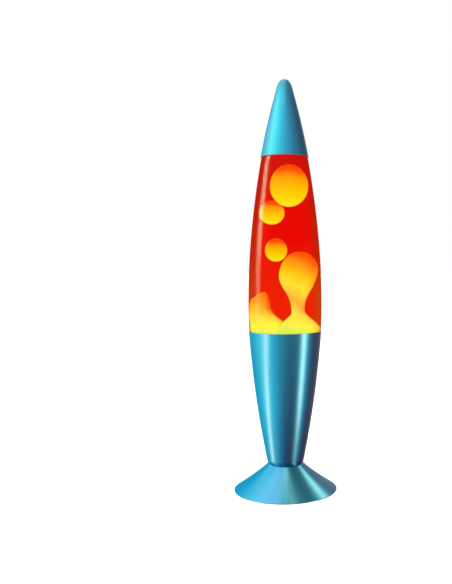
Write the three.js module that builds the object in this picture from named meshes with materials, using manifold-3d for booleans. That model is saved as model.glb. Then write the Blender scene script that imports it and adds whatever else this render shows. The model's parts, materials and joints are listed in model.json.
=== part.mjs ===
// A table-top liquid-motion lamp, 414 mm tall: a conical cap over a glass bottle of dyed liquid and wax,
// on a spun aluminium cup and foot that hold the bulb, with a bundled mains cord behind.
// Millimetres, +Z up. The origin is the centre of the foot on the table, the front faces -Y, and the cord
// leaves towards +Y.
import * as THREE from "three";
import { mergeVertices } from "three/addons/utils/BufferGeometryUtils.js";
import Module from "manifold-3d";

const wasm = await Module();
wasm.setup();

// ---------------------------------------------------------------- driving dimensions
const HEIGHT = 414; // table to the tip of the cap
const SHEET = 0.8; // wall of the spun aluminium shells
const GLASS_WALL = 2.4;
const GAP = 0.3; // clearance between neighbouring pieces
const FIT = 0.35; // clearance of the bottle inside the cup and under the cap

const FOOT = { radius: 51.5, edgeZ: 1.1, topRadius: 16.8, topZ: 26.9 };
const CUP = { bottomRadius: 18, bottomZ: 27.2, rimRadius: 36.6, rimZ: 159.5 };
const CAP = { rimRadius: 24.2, rimZ: 334.9, shoulderRadius: 8.4, shoulderZ: 403.3 };
const BELLY = { radius: 37.7, z: 187 }; // the widest part of the bottle
const BOTTLE = { bottomZ: 124, wallZ: 131, neckRadius: 12.9, lipRadius: 13.4, boreRadius: 9.4, topZ: 366.8 };
const LIQUID_TOP_Z = 345;

const NIPPLE = { radius: 5, boreRadius: 3.7, bottomZ: 17.6, topZ: 35.2 };
const HOLE_RADIUS = NIPPLE.radius + GAP;
const SOCKET = { radius: 13, bottomZ: 29.6, floorZ: 37.2, boreZ: 40.3, boreRadius: 9.7, topZ: 60.5 };
const BULB = { contactZ: 42.2, shellBottomZ: 47.5, shellTopZ: 66, ballZ: 87, ballRadius: 19.5, threadPitch: 2.82 };

const CORD = { halfWidth: 2.6, halfThickness: 1.3 }; // two-core flat flex
const HANK = { x: -3, z: 3.2, nearY: 88, farY: 190, innerRadius: 5, pitch: 3.1, turns: 4 };
const SWITCH = { y: 113, halfLength: 29, halfWidth: 12, bottomZ: 6.9, splitZ: 15, topZ: 23.4, wall: 1.6 };
const PLUG = { neckY: 178, backY: 186, faceY: 218, z: 14.6, halfWidth: 11.5, halfHeight: 7.5 };

const FINE = 32; // facets round the large shells
const MEDIUM = 18; // facets round fittings
const COARSE = 12; // facets round small hardware

// ---------------------------------------------------------------- materials
const finish = (color, roughness, metalness = 0, more = {}) =>
  new THREE.MeshStandardMaterial({ color, roughness, metalness, ...more });
const BLUE_ALUMINIUM = finish(0x2b9cc4, 0.35, 0.9);
const GLASS = finish(0xf4f7f7, 0.05, 0, { transparent: true, opacity: 0.3 });
const RED_LIQUID = finish(0xe01a08, 0.1, 0, { transparent: true, opacity: 0.7 });
const WAX = finish(0xffa51a, 0.55);
const STEEL = finish(0xc9ccd0, 0.3, 0.9);
const BRASS = finish(0xc8a24a, 0.35, 0.9);
const PHENOLIC = finish(0x2a2422, 0.55);
const BLACK_PLASTIC = finish(0x151516, 0.6);
const RUBBER = finish(0x1b1b1c, 0.85);
const FELT = finish(0x26272a, 0.95);
const WHITE_LINER = finish(0xe8e6df, 0.7);

// ---------------------------------------------------------------- helpers
const at = (r, z) => new THREE.Vector2(r, z);
const point = (x, y, z) => new THREE.Vector3(x, y, z);
const SIDEWAYS = point(1, 0, 0);
const UP = point(0, 0, 1);

// Points of a quadratic curve from a to c, pulled towards b, as (radius, height).
const bend = (a, b, c, steps) => new THREE.QuadraticBezierCurve(at(...a), at(...b), at(...c)).getPoints(steps);

// The radius of a rising outline at height z.
function radiusAt(points, z) {
  const i = Math.max(1, points.findIndex((p) => p.y >= z));
  const [low, high] = [points[i - 1], points[i]];
  return low.x + ((high.x - low.x) * (z - low.y)) / (high.y - low.y);
}

// An outline moved sideways by distance, to the left of its direction of travel.
function offset(points, distance) {
  return points.map((p, i) => {
    const before = points[Math.max(0, i - 1)];
    const after = points[Math.min(points.length - 1, i + 1)];
    const along = after.clone().sub(before).normalize();
    return at(p.x - along.y * distance, p.y + along.x * distance);
  });
}

// A solid of revolution about Z. The outline starts and ends on the axis, or is closed here.
function turned(outline, facets = MEDIUM) {
  const touchesAxis = outline[0].x === 0 && outline.at(-1).x === 0;
  const points = touchesAxis ? [...outline] : [...outline, outline[0]];
  if (THREE.ShapeUtils.area(points) < 0) points.reverse();
  return new THREE.LatheGeometry(points, facets).rotateX(Math.PI / 2);
}

const ring = (inner, outer, bottom, top, facets = MEDIUM) =>
  turned([at(inner, bottom), at(outer, bottom), at(outer, top), at(inner, top)], facets);
const disc = (radius, bottom, top, facets = MEDIUM) =>
  turned([at(0, bottom), at(radius, bottom), at(radius, top), at(0, top)], facets);
const box = (x, y, z, [cx, cy, cz]) => new THREE.BoxGeometry(x, y, z).translate(cx, cy, cz);
const rodAlongX = (radius, length, [x, y, z], facets = COARSE) =>
  new THREE.CylinderGeometry(radius, radius, length, facets).rotateZ(Math.PI / 2).translate(x, y, z);
const rodAlongY = (radius, length, [x, y, z], facets = COARSE) =>
  new THREE.CylinderGeometry(radius, radius, length, facets).translate(x, y, z);

// A path through listed stations, one step each. The section's x axis stays as near to `across` as it can.
class Stations extends THREE.Curve {
  constructor(points, across) {
    super();
    this.points = points;
    this.across = across;
  }
  getPointAt(u) {
    return this.points[Math.round(u * (this.points.length - 1))];
  }
  computeFrenetFrames() {
    const last = this.points.length - 1;
    const tangents = this.points.map((_, i) =>
      this.points[Math.min(i + 1, last)].clone().sub(this.points[Math.max(i - 1, 0)]).normalize(),
    );
    const normals = tangents.map((t) => this.across.clone().projectOnPlane(t).normalize());
    const binormals = tangents.map((t, i) => t.clone().cross(normals[i]));
    return { tangents, normals, binormals };
  }
}

const swept = (section, points, across) =>
  new THREE.ExtrudeGeometry(new THREE.Shape(section), {
    steps: points.length - 1,
    extrudePath: new Stations(points, across),
    bevelEnabled: false,
  });

const roundSection = (radius, sides) =>
  Array.from({ length: sides }, (_, i) => (2 * Math.PI * i) / sides).map((a) =>
    at(radius * Math.cos(a), radius * Math.sin(a)),
  );

// The flat cord's section, wide along x, with its corners cut off.
function cordSection() {
  const { halfWidth: w, halfThickness: t } = CORD;
  const corner = 0.7 * t;
  return [
    at(w, t - corner), at(w - corner, t), at(corner - w, t), at(-w, t - corner),
    at(-w, corner - t), at(corner - w, -t), at(w - corner, -t), at(w, corner - t),
  ];
}

function solidOf(geometry) {
  const bare = geometry.clone().deleteAttribute("normal").deleteAttribute("uv");
  const merged = mergeVertices(bare);
  return new wasm.Manifold(
    new wasm.Mesh({
      numProp: 3,
      vertProperties: merged.attributes.position.array,
      triVerts: new Uint32Array(merged.index.array),
    }),
  );
}

function geometryOf(solid) {
  const { vertProperties, triVerts } = solid.getMesh();
  return new THREE.BufferGeometry()
    .setAttribute("position", new THREE.BufferAttribute(vertProperties, 3))
    .setIndex(new THREE.BufferAttribute(triVerts, 1));
}

const combine = (how) => (first, ...others) =>
  geometryOf(others.map(solidOf).reduce((result, other) => result[how](other), solidOf(first)));
const cut = combine("subtract");
const join = combine("add");
const common = combine("intersect");

const lamp = new THREE.Group();
function place(name, geometry, material) {
  const mesh = new THREE.Mesh(geometry, material);
  mesh.name = name;
  lamp.add(mesh);
  return mesh;
}

// ---------------------------------------------------------------- outlines shared by neighbours
const cupSide = bend([CUP.bottomRadius, CUP.bottomZ + 0.8], [31.4, 90.8], [CUP.rimRadius, CUP.rimZ], 6);
const capSide = bend([CAP.rimRadius, CAP.rimZ], [18.2, 368.6], [CAP.shoulderRadius, CAP.shoulderZ], 5);
const lowerBelly = bend([37.1, 162.6], [BELLY.radius, 174], [BELLY.radius, BELLY.z], 2);
const upperBelly = bend([BELLY.radius, BELLY.z], [BELLY.radius, 257.3], [24.2, CAP.rimZ - 0.8], 7);

// The bottle's outer surface inside the cup and under the cap follows those shells.
const insideCup = (z) => radiusAt(cupSide, z) - SHEET - FIT;
const insideCap = (z) => CAP.rimRadius - SHEET - FIT - 0.17 * (z - CAP.rimZ);

// The bottle's inner surface from its floor to the foot of the neck, drawn in by gap.
function bottleInside(gap) {
  const inner = GLASS_WALL + gap;
  return [
    at(0, BOTTLE.wallZ + gap),
    at(8, BOTTLE.wallZ - 0.6 + gap),
    at(15, BOTTLE.bottomZ + 4 + gap),
    at(26 - gap, BOTTLE.bottomZ + 4 + gap),
    at(insideCup(BOTTLE.wallZ + 1) - inner, BOTTLE.wallZ + 3 + gap),
    ...[146, 158].map((z) => at(insideCup(z) - inner, z)),
    ...[...lowerBelly, ...upperBelly.slice(1)].map((p) => at(p.x - inner, p.y)),
    at(insideCap(338) - inner, 338),
  ];
}

// ---------------------------------------------------------------- cap and bottle
function lampCap() {
  const tip = bend([CAP.shoulderRadius, CAP.shoulderZ], [6.2, HEIGHT], [0, HEIGHT], 4);
  const hollow = bend([0, HEIGHT - SHEET], [5.4, HEIGHT - SHEET], [CAP.shoulderRadius - SHEET, CAP.shoulderZ], 3);
  const inside = [...capSide].reverse().map((p) => at(p.x - SHEET, p.y));
  return turned([...hollow, ...inside.slice(1), ...capSide, ...tip.slice(1)], FINE);
}

function glassBottle() {
  const { bottomZ, wallZ, neckRadius, lipRadius, boreRadius, topZ } = BOTTLE;
  const ledgeZ = CUP.rimZ + GAP;
  const outside = [
    ...bend([0, bottomZ + 3], [12, bottomZ + 3], [19, bottomZ], 2),
    at(24, bottomZ),
    ...bend([24, bottomZ], [insideCup(bottomZ + 3), bottomZ + 0.6], [insideCup(wallZ), wallZ], 2).slice(1),
    ...[146, 158.9].map((z) => at(insideCup(z), z)),
    at(CUP.rimRadius - SHEET - FIT, ledgeZ),
    at(CUP.rimRadius, ledgeZ),
    ...lowerBelly,
    ...upperBelly.slice(1),
    at(23.9, CAP.rimZ - GAP),
    at(insideCap(CAP.rimZ), CAP.rimZ - GAP),
    ...bend([insideCap(338), 338], [19.5, 353], [neckRadius, 354.5], 3),
    at(neckRadius, topZ - 6.3),
    at(lipRadius, topZ - 5.3),
    at(lipRadius, topZ - 1.2),
    at(lipRadius - 1, topZ),
    at(boreRadius + 1, topZ),
    at(boreRadius, topZ - 1),
  ];
  const neckInside = bend([boreRadius, 353], [16, 351], [insideCap(338) - GLASS_WALL, 338], 3);
  return turned([...outside, ...neckInside, ...bottleInside(0).reverse().slice(1)], FINE);
}

// A pressed steel crown closure: its skirt swings in and out in flutes.
function crownCap() {
  const { lipRadius, topZ } = BOTTLE;
  const outline = [
    at(0, topZ + 1.1), at(12.6, topZ + 1.1), at(lipRadius + 0.4, topZ - 0.6), at(lipRadius + 0.9, topZ - 5),
    at(lipRadius + 1.3, topZ - 5), at(lipRadius + 0.8, topZ - 0.4), at(12.9, topZ + 1.5), at(0, topZ + 1.5),
  ];
  const flutes = 21;
  const fluteDepth = 0.5;
  const geometry = turned(outline, 2 * flutes);
  const position = geometry.attributes.position;
  for (let i = 0; i < position.count; i++) {
    const [x, y, z] = [position.getX(i), position.getY(i), position.getZ(i)];
    const skirt = THREE.MathUtils.clamp((topZ - z) / 5, 0, 1);
    const swing = 1 + ((fluteDepth * skirt) / lipRadius) * Math.max(0, Math.cos(flutes * Math.atan2(y, x)));
    position.setXY(i, x * swing, y * swing);
  }
  return geometry;
}

const crownLiner = () => disc(12.4, BOTTLE.topZ + GAP, BOTTLE.topZ + 0.8);

// ---------------------------------------------------------------- liquid and wax
const BLOBS = {
  wax_blob_upper: { centre: [4.5, -3.5, 306], radius: 19.5, halfHeight: 21.5 },
  wax_blob_middle: { centre: [-13.5, 7.5, 279.6], radius: 13.1, halfHeight: 12.3 },
  wax_blob_lower: { centre: [-8.1, -17, 241.1], radius: 11.1, halfHeight: 11.6 },
};

function blob({ centre, radius, halfHeight }, grow = 0) {
  return new THREE.SphereGeometry(radius + grow, 16, 10)
    .scale(1, (halfHeight + grow) / (radius + grow), 1)
    .rotateX(Math.PI / 2)
    .translate(...centre);
}

// Wax that stands on the bottle's floor is turned about a line at x, y that leans: `lean` lists how far the
// line has moved sideways at some heights. `side` is the outline up to the top.
const COLUMN = {
  x: 12.9, y: -3, top: 239.6,
  side: [
    [40, 148], [30, 156.5], [17.4, 168.2], [10.7, 173.8], [7.1, 179], [7.2, 186], [10.9, 196], [18.5, 211.6],
    [19.5, 220], [17.4, 228.2], [11.4, 235.9],
  ],
  lean: [[148, 0], [168, 1.1], [174, 1.2], [180, 0.3], [212, 0], [220, 0.9], [228, 1.9], [240, 1.9]],
};
const MOUND = {
  x: -28.4, y: 11, top: 198.5,
  side: [[44, 152], [36, 160], [25.7, 167.9], [17.6, 175], [13.6, 181.3], [9.8, 190.4], [4.9, 195.2]],
  lean: [[181, 0], [190, 1.8], [195, 4.6], [199, 5.6]],
};

function shiftAt(lean, z) {
  const i = lean.findIndex(([height]) => height > z);
  if (i === 0) return lean[0][1];
  if (i < 0) return lean.at(-1)[1];
  const [[z0, x0], [z1, x1]] = lean.slice(i - 1, i + 1);
  return x0 + ((x1 - x0) * (z - z0)) / (z1 - z0);
}

function standing({ x, y, top, side, lean }, grow) {
  const outline = [[side[0][0], 100], ...side].map(([r, z]) => at(r + grow, z));
  const geometry = turned([at(0, 100), ...outline, at(0, top + grow)]);
  const position = geometry.attributes.position;
  for (let i = 0; i < position.count; i++) {
    position.setX(i, position.getX(i) + shiftAt(lean, position.getZ(i)));
  }
  return geometry.translate(x, y, 0);
}

// The pool, the column with its head, and the low mound beside it.
const poolShapes = (grow) => join(disc(40, 100, 152 + grow, FINE), standing(COLUMN, grow), standing(MOUND, grow));

const inBottle = () => turned([...bottleInside(GAP), at(16.3, LIQUID_TOP_Z), at(0, LIQUID_TOP_Z)], FINE);
const coilGroove = () => ring(16.2, 24.8, 100, BOTTLE.bottomZ + 11.5);
const waxPool = () => cut(common(inBottle(), poolShapes(0)), coilGroove());

// The liquid fills what the wax leaves. A fine vent rises from each pocket, so that no pocket is sealed.
function liquid() {
  const pockets = Object.values(BLOBS).flatMap((it) => [
    blob(it, GAP),
    disc(0.6, it.centre[2], LIQUID_TOP_Z + 1, 6).translate(it.centre[0], it.centre[1], 0),
  ]);
  return cut(inBottle(), poolShapes(GAP), ...pockets);
}

// A loose steel spring bent into a ring on the bottle's floor, which helps the wax to gather again.
function heatCoil() {
  const [ringRadius, coilRadius, wireRadius, coils, perCoil] = [20.5, 2.3, 0.5, 15, 5];
  const centreZ = BOTTLE.bottomZ + 4 + GAP + coilRadius + wireRadius + 0.6;
  const points = Array.from({ length: coils * perCoil }, (_, i) => {
    const round = (2 * Math.PI * 0.97 * i) / (coils * perCoil);
    const turn = (2 * Math.PI * i) / perCoil;
    const r = ringRadius + coilRadius * Math.cos(turn);
    return point(r * Math.cos(round), r * Math.sin(round), centreZ + coilRadius * Math.sin(turn));
  });
  return swept(roundSection(wireRadius, 4), points, UP);
}

// ---------------------------------------------------------------- cup, foot and the fittings that clamp them
function baseCup() {
  const inside = [...cupSide].reverse().map((p) => at(p.x - SHEET, p.y));
  inside[inside.length - 1].y = CUP.bottomZ + SHEET;
  return turned(
    [at(HOLE_RADIUS, CUP.bottomZ), at(CUP.bottomRadius - 0.7, CUP.bottomZ), ...cupSide, ...inside,
      at(HOLE_RADIUS, CUP.bottomZ + SHEET)],
    FINE,
  );
}

// The foot flares from its flat top to the edge. A notch in the back of the edge lets the cord out.
const CORD_EXIT = { z: 5.8, radius: 4.4 };
function baseFoot() {
  const side = bend([FOOT.topRadius, FOOT.topZ], [29.9, 15], [FOOT.radius, FOOT.edgeZ], 6);
  const shell = turned(
    [at(HOLE_RADIUS, FOOT.topZ), ...side, ...offset(side, -SHEET).slice(1).reverse(),
      at(FOOT.topRadius - 0.4, FOOT.topZ - SHEET), at(HOLE_RADIUS, FOOT.topZ - SHEET)],
    FINE,
  );
  const notchRadius = CORD_EXIT.radius + GAP;
  const notch = join(
    rodAlongY(notchRadius, 30, [0, 52, CORD_EXIT.z], MEDIUM),
    box(2 * notchRadius, 30, 8, [0, 52, CORD_EXIT.z - 4]),
  );
  return cut(shell, notch);
}

// A rubber bush through the notch, with a collar outside the foot.
function cordGrommet() {
  const { z, radius } = CORD_EXIT;
  const [back, collar, front] = [37.6, 51.9, 54];
  const body = turned([
    at(0, back), at(radius, back), at(radius, collar), at(radius + 0.9, collar), at(radius + 0.9, front - 0.6),
    at(radius + 0.3, front), at(0, front),
  ]).rotateX(-Math.PI / 2).translate(0, 0, z);
  return cut(body, box(2 * (CORD.halfWidth + GAP), 40, 2 * (CORD.halfThickness + GAP), [0, 48, z]));
}

// A snap-in plate with vent slots round its rim, and a gap at the back for the bush.
const PLATE = { radius: 44.8, bottomZ: 2.4, topZ: 4 };
function bottomPlate() {
  const slots = Array.from({ length: 8 }, (_, i) =>
    box(2.6, 8, 6, [0, 37, 3]).rotateZ((2 * Math.PI * (i + 0.5)) / 8),
  );
  return cut(disc(PLATE.radius, PLATE.bottomZ, PLATE.topZ, FINE), box(13, 24, 6, [0, 47, 3]), ...slots);
}

const feltPad = () => disc(30, 0, PLATE.bottomZ - GAP, FINE);

function hexNut(acrossFlats, bottom, height) {
  const corner = acrossFlats / Math.sqrt(3);
  const shape = new THREE.Shape(roundSection(corner, 6));
  shape.holes.push(new THREE.Path(roundSection(HOLE_RADIUS, COARSE)));
  return new THREE.ExtrudeGeometry(shape, { depth: height, bevelEnabled: false }).translate(0, 0, bottom);
}

function toothedWasher(bottom, height) {
  const teeth = 12;
  const rim = Array.from({ length: 2 * teeth }, (_, i) => {
    const a = (Math.PI * i) / teeth;
    const r = i % 2 ? 9.2 : 7.6;
    return at(r * Math.cos(a), r * Math.sin(a));
  });
  const shape = new THREE.Shape(rim);
  shape.holes.push(new THREE.Path(roundSection(HOLE_RADIUS, COARSE)));
  return new THREE.ExtrudeGeometry(shape, { depth: height, bevelEnabled: false }).translate(0, 0, bottom);
}

// ---------------------------------------------------------------- lampholder and bulb
const TERMINAL = { z: 34, holeRadius: 1.5 };
function socketBody() {
  const { radius, bottomZ, floorZ, boreZ, boreRadius, topZ } = SOCKET;
  const shell = turned([
    at(HOLE_RADIUS, bottomZ), at(radius - 1.5, bottomZ), at(radius, bottomZ + 1.5), at(radius, topZ),
    at(boreRadius, topZ), at(boreRadius, boreZ), at(1.6, boreZ), at(1.6, floorZ), at(HOLE_RADIUS, floorZ),
  ]);
  return cut(shell, rodAlongX(TERMINAL.holeRadius, 4 * radius, [0, 0, TERMINAL.z]));
}

const socketScrewShell = () => ring(8.75, 9.35, 44, SOCKET.topZ - 0.3);

// The sprung centre contact, riveted through the lampholder's floor.
const socketContact = () =>
  turned([
    at(0, SOCKET.floorZ - 0.6), at(1.3, SOCKET.floorZ - 0.6), at(1.3, 40.6), at(4.6, 40.6), at(4.6, 41.1),
    at(2.4, 41.8), at(0, 41.9),
  ], COARSE);

function terminalScrew(side) {
  const shank = rodAlongX(1.2, 7, [side * 10.5, 0, TERMINAL.z]);
  const head = rodAlongX(2.5, 1.5, [side * 14.1, 0, TERMINAL.z]);
  const slot = box(1, 8, 0.7, [side * 14.8, 0, TERMINAL.z]);
  return cut(join(shank, head), slot);
}

const bulbContact = () =>
  turned([at(0, BULB.contactZ), at(1.7, BULB.contactZ), at(2.4, 42.8), at(2.4, 43.4), at(0, 43.4)], COARSE);
const bulbInsulator = () => turned([at(0, 43.7), at(2.8, 43.7), at(6.4, 46.4), at(6.4, 47.2), at(0, 47.2)], COARSE);

// The screw base: rolled ridges at the thread's pitch, 17 mm over the crests.
function bulbScrewShell() {
  const { shellBottomZ, shellTopZ, threadPitch } = BULB;
  const ridges = Array.from({ length: 11 }, (_, i) =>
    at(i % 2 ? 8.35 : 7.65, shellBottomZ + 1 + (i * threadPitch) / 2),
  );
  return turned([at(7.1, shellBottomZ), at(7.6, shellBottomZ), ...ridges, at(7.8, shellTopZ), at(7.3, shellTopZ)]);
}

function bulbGlass() {
  const { ballZ, ballRadius } = BULB;
  const onBall = (degrees) => {
    const a = THREE.MathUtils.degToRad(degrees);
    return [ballRadius * Math.cos(a), ballZ + ballRadius * Math.sin(a)];
  };
  const outside = [
    at(6.9, 60.5),
    ...bend([6.9, 66], [7.4, 70], onBall(-40), 3),
    ...[-20, 0, 20, 40, 60, 75].map((degrees) => at(...onBall(degrees))),
    at(0, ballZ + ballRadius),
  ];
  const inside = offset(outside, 0.7).reverse();
  inside[0] = at(0, ballZ + ballRadius - 0.7);
  return turned([...inside, ...outside]);
}

const bulbStem = () =>
  turned([at(0, 61), at(5.5, 61), at(5.5, 61.8), at(2.6, 64.5), at(1.7, 76), at(2.1, 77.6), at(0, 78.4)], COARSE);

// Two support wires rise from the stem and carry the coiled filament in an arc between them.
function bulbFilament() {
  const points = [[-1.6, 78.9], [-3, 82], [-6.8, 87.2]].map(([x, z]) => point(x, 0, z));
  const swing = 16;
  for (let i = 0; i <= swing; i++) {
    const a = Math.PI * (1 - i / swing);
    const weave = (i % 2 ? 0.6 : -0.6) * Math.sin(a);
    points.push(point(6.8 * Math.cos(a), weave, 88 + 2.6 * Math.sin(a)));
  }
  points.push(...[[6.8, 87.2], [3, 82], [1.6, 78.9]].map(([x, z]) => point(x, 0, z)));
  return swept(roundSection(0.3, 4), points, point(0, 1, 0));
}

// ---------------------------------------------------------------- mains cord, switch and plug
// Stations of a curve through a few guide points.
const eased = (guides, steps) => new THREE.CatmullRomCurve3(guides.map((g) => point(...g))).getPoints(steps);

function cordToSwitch() {
  const switchEntry = SWITCH.y - SWITCH.halfLength + 4;
  const guides = [
    [0, 0, 36.2], [0, 0, 26], [0, 0.6, 16], [0, 8, 8.6], [0, 20, 6.3], [0, 33, CORD_EXIT.z], [0, 37, CORD_EXIT.z],
    [0, 55, CORD_EXIT.z], [0, 59, CORD_EXIT.z], [0, 68, 9.4], [0, 78, 14], [0, switchEntry, SWITCH.splitZ],
  ];
  return swept(cordSection(), eased(guides, 24), SIDEWAYS);
}

// From the plug the cord drops into the middle of a flat hank, winds outwards on its edge, and climbs to the
// far end of the switch.
function cordToPlug() {
  const { x: middle, z, nearY, farY, innerRadius, pitch, turns } = HANK;
  const fromPlug = [
    [0, PLUG.backY + 4, PLUG.z], [0, PLUG.backY, PLUG.z], [0, PLUG.neckY - 1, PLUG.z], [0, PLUG.neckY - 5, PLUG.z],
    [0.2, 160, 8.6], [1.2, 146, 3.8], [middle + innerRadius, 130, z],
  ];
  const points = eased(fromPlug, 12);
  const halfTurn = (x, y, radius, from) => {
    for (let i = 0; i <= 5; i++) {
      const a = from - (Math.PI * i) / 5;
      points.push(point(x + radius * Math.cos(a), y + radius * Math.sin(a), z));
    }
  };
  for (let turn = 0; turn < turns; turn++) {
    const radius = innerRadius + turn * pitch;
    halfTurn(middle - pitch / 2, nearY, radius + pitch / 2, 0);
    if (turn < turns - 1) halfTurn(middle, farY, radius + pitch, Math.PI);
  }
  const outer = middle - innerRadius - turns * pitch;
  const toSwitch = [
    [outer, 128, z], [outer, 144, 4.4], [-18.8, 157, 9.6], [-12.4, 164.4, 14.6], [-5.4, 162.4, 16.4],
    [-1.1, 152, 16], [0, 145, SWITCH.splitZ], [0, SWITCH.y + SWITCH.halfLength - 4, SWITCH.splitZ],
  ];
  points.push(...eased(toSwitch, 20));
  return swept(cordSection(), points, UP);
}

function cordTie() {
  const [halfWidth, bottom, top, thickness, width] = [16.9, 0, 6.7, 0.6, 4];
  const shape = new THREE.Shape([
    at(-halfWidth, bottom), at(halfWidth, bottom), at(halfWidth, top), at(-halfWidth, top),
  ]);
  shape.holes.push(
    new THREE.Path([
      at(-halfWidth + thickness, bottom + thickness / 2), at(halfWidth - thickness, bottom + thickness / 2),
      at(halfWidth - thickness, top - thickness), at(-halfWidth + thickness, top - thickness),
    ]),
  );
  return new THREE.ExtrudeGeometry(shape, { depth: width, bevelEnabled: false })
    .rotateX(Math.PI / 2)
    .translate(HANK.x, 172, 0);
}

const switchBlock = (inset, bottom, top) => {
  const { y, halfLength, halfWidth } = SWITCH;
  const corner = 5;
  const [w, l] = [halfWidth - inset, halfLength - inset];
  const shape = new THREE.Shape([
    at(-w + corner, -l), at(w - corner, -l), at(w, -l + corner), at(w, l - corner),
    at(w - corner, l), at(-w + corner, l), at(-w, l - corner), at(-w, -l + corner),
  ]);
  return new THREE.ExtrudeGeometry(shape, { depth: top - bottom, bevelEnabled: false }).translate(0, y, bottom);
};
const cordHoles = (halfX, halfZ) =>
  [-1, 1].map((end) =>
    box(2 * halfX, 12, 2 * halfZ, [0, SWITCH.y + end * SWITCH.halfLength, SWITCH.splitZ]));
const CORD_HOLE = CORD.halfWidth + GAP;
const SCREW_PLACES = [-1, 1].map((end) => [end * 7.2, SWITCH.y + end * 20]);
const ROCKER = { halfWidth: 4.6, halfLength: 9.5, pivotZ: 19.5, pinRadius: 1.1 };

function switchCaseLower() {
  const { bottomZ, splitZ, wall } = SWITCH;
  const hollow = switchBlock(wall, bottomZ + wall, splitZ + 1);
  const tray = cut(switchBlock(0, bottomZ, splitZ - GAP / 2), hollow, ...cordHoles(CORD_HOLE, CORD_HOLE));
  const post = ring(1.4, 2.8, bottomZ + wall - 0.5, splitZ - 0.5, COARSE);
  return join(tray, ...SCREW_PLACES.map(([x, y]) => post.clone().translate(x, y, 0)));
}

function switchCaseUpper() {
  const { y, splitZ, topZ, wall } = SWITCH;
  const hollow = switchBlock(wall, splitZ - 1, topZ - wall);
  const window = box(2 * (ROCKER.halfWidth + GAP), 2 * (ROCKER.halfLength + 1.7), 8, [0, y, topZ]);
  const pinSeat = rodAlongX(ROCKER.pinRadius + GAP, 15, [0, y, ROCKER.pivotZ]);
  const screwHoles = SCREW_PLACES.map(([x, sy]) => disc(1.6, splitZ - 2, topZ + 1, COARSE).translate(x, sy, 0));
  const lugs = [-1, 1].map((side) => box(1.6, 6, 5.4, [side * 6.2, y, topZ - wall - 2.5]));
  const cover = cut(switchBlock(0, splitZ + GAP / 2, topZ), hollow, window, ...cordHoles(CORD_HOLE, CORD_HOLE));
  return cut(join(cover, ...lugs), pinSeat, ...screwHoles);
}

// The rocker stands proud at its plug end when the lamp is on, and turns about the pin.
function switchRocker() {
  const { halfWidth, halfLength, pivotZ, pinRadius } = ROCKER;
  const side = new THREE.Shape([
    at(-halfLength, 2.2), at(-halfLength, 4.2), at(0, 5.2), at(halfLength, 7.6), at(halfLength, 4.6),
    at(2.4, -1.6), at(0, -2.8), at(-2.4, -1.6),
  ]);
  const body = new THREE.ExtrudeGeometry(side, { depth: 2 * halfWidth, bevelEnabled: false })
    .rotateX(Math.PI / 2).rotateZ(Math.PI / 2).translate(-halfWidth, SWITCH.y, pivotZ);
  return cut(body, rodAlongX(pinRadius + GAP, 30, [0, SWITCH.y, pivotZ]));
}

const rockerPin = () => rodAlongX(ROCKER.pinRadius, 13.6, [0, SWITCH.y, ROCKER.pivotZ]);

// A bent brass strip on the case floor, one each side of the rocker's foot.
function contactStrip(end) {
  const base = box(6, 9, 0.5, [0, SWITCH.y + end * 12.5, 9.2]);
  const upright = box(6, 0.5, 5, [0, SWITCH.y + end * 8.2, 11.4]);
  return join(base, upright);
}

function caseScrew([x, y]) {
  const head = disc(2.4, SWITCH.topZ + GAP, SWITCH.topZ + 1.4, COARSE);
  const shank = disc(1.1, SWITCH.bottomZ + 3, SWITCH.topZ + 0.5, COARSE);
  return cut(join(head, shank), box(0.7, 8, 1, [0, 0, SWITCH.topZ + 1.4])).translate(x, y, 0);
}

const BLADES = {
  plug_blade_line: { x: 6.35, halfHeight: 3.15 },
  plug_blade_neutral: { x: -6.35, halfHeight: 3.95 },
};
const bladeBox = ({ x, halfHeight }, grow) =>
  box(1.5 + 2 * grow, 25.5 + 2 * grow, 2 * (halfHeight + grow), [x, PLUG.faceY + 4.75, PLUG.z]);

function plugBlade(blade) {
  return cut(bladeBox(blade, 0), rodAlongX(1.6, 20, [blade.x, PLUG.faceY + 12, PLUG.z]));
}

// The moulded body: a waisted grip with a stepped strain relief where the cord goes in.
function plugBody() {
  const { neckY, backY, faceY, z, halfWidth, halfHeight } = PLUG;
  const top = new THREE.Shape([
    at(-5, backY), at(5, backY), at(halfWidth - 2.6, backY + 7), at(halfWidth - 1.6, faceY - 11),
    at(halfWidth, faceY - 6), at(halfWidth, faceY), at(-halfWidth, faceY), at(-halfWidth, faceY - 6),
    at(1.6 - halfWidth, faceY - 11), at(2.6 - halfWidth, backY + 7),
  ]);
  const grip = new THREE.ExtrudeGeometry(top, { depth: 2 * halfHeight, bevelEnabled: false });
  const relief = rodAlongY(4.3, backY - neckY + 2, [0, (neckY + backY) / 2 + 1, z], COARSE);
  const cordWay = box(2 * (CORD.halfThickness + GAP), 16, 2 * (CORD.halfWidth + GAP), [0, backY - 3, z]);
  const pockets = Object.values(BLADES).map((blade) => bladeBox(blade, GAP));
  return cut(join(grip.translate(0, 0, z - halfHeight), relief), cordWay, ...pockets);
}

// ---------------------------------------------------------------- assembly
place("lamp_cap", lampCap(), BLUE_ALUMINIUM);

place("glass_bottle", glassBottle(), GLASS);
place("crown_cap", crownCap(), STEEL);
place("crown_liner", crownLiner(), WHITE_LINER);
place("liquid", liquid(), RED_LIQUID);
place("wax_pool", waxPool(), WAX);
for (const [name, shape] of Object.entries(BLOBS)) place(name, blob(shape), WAX);
place("heat_coil", heatCoil(), STEEL);

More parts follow.
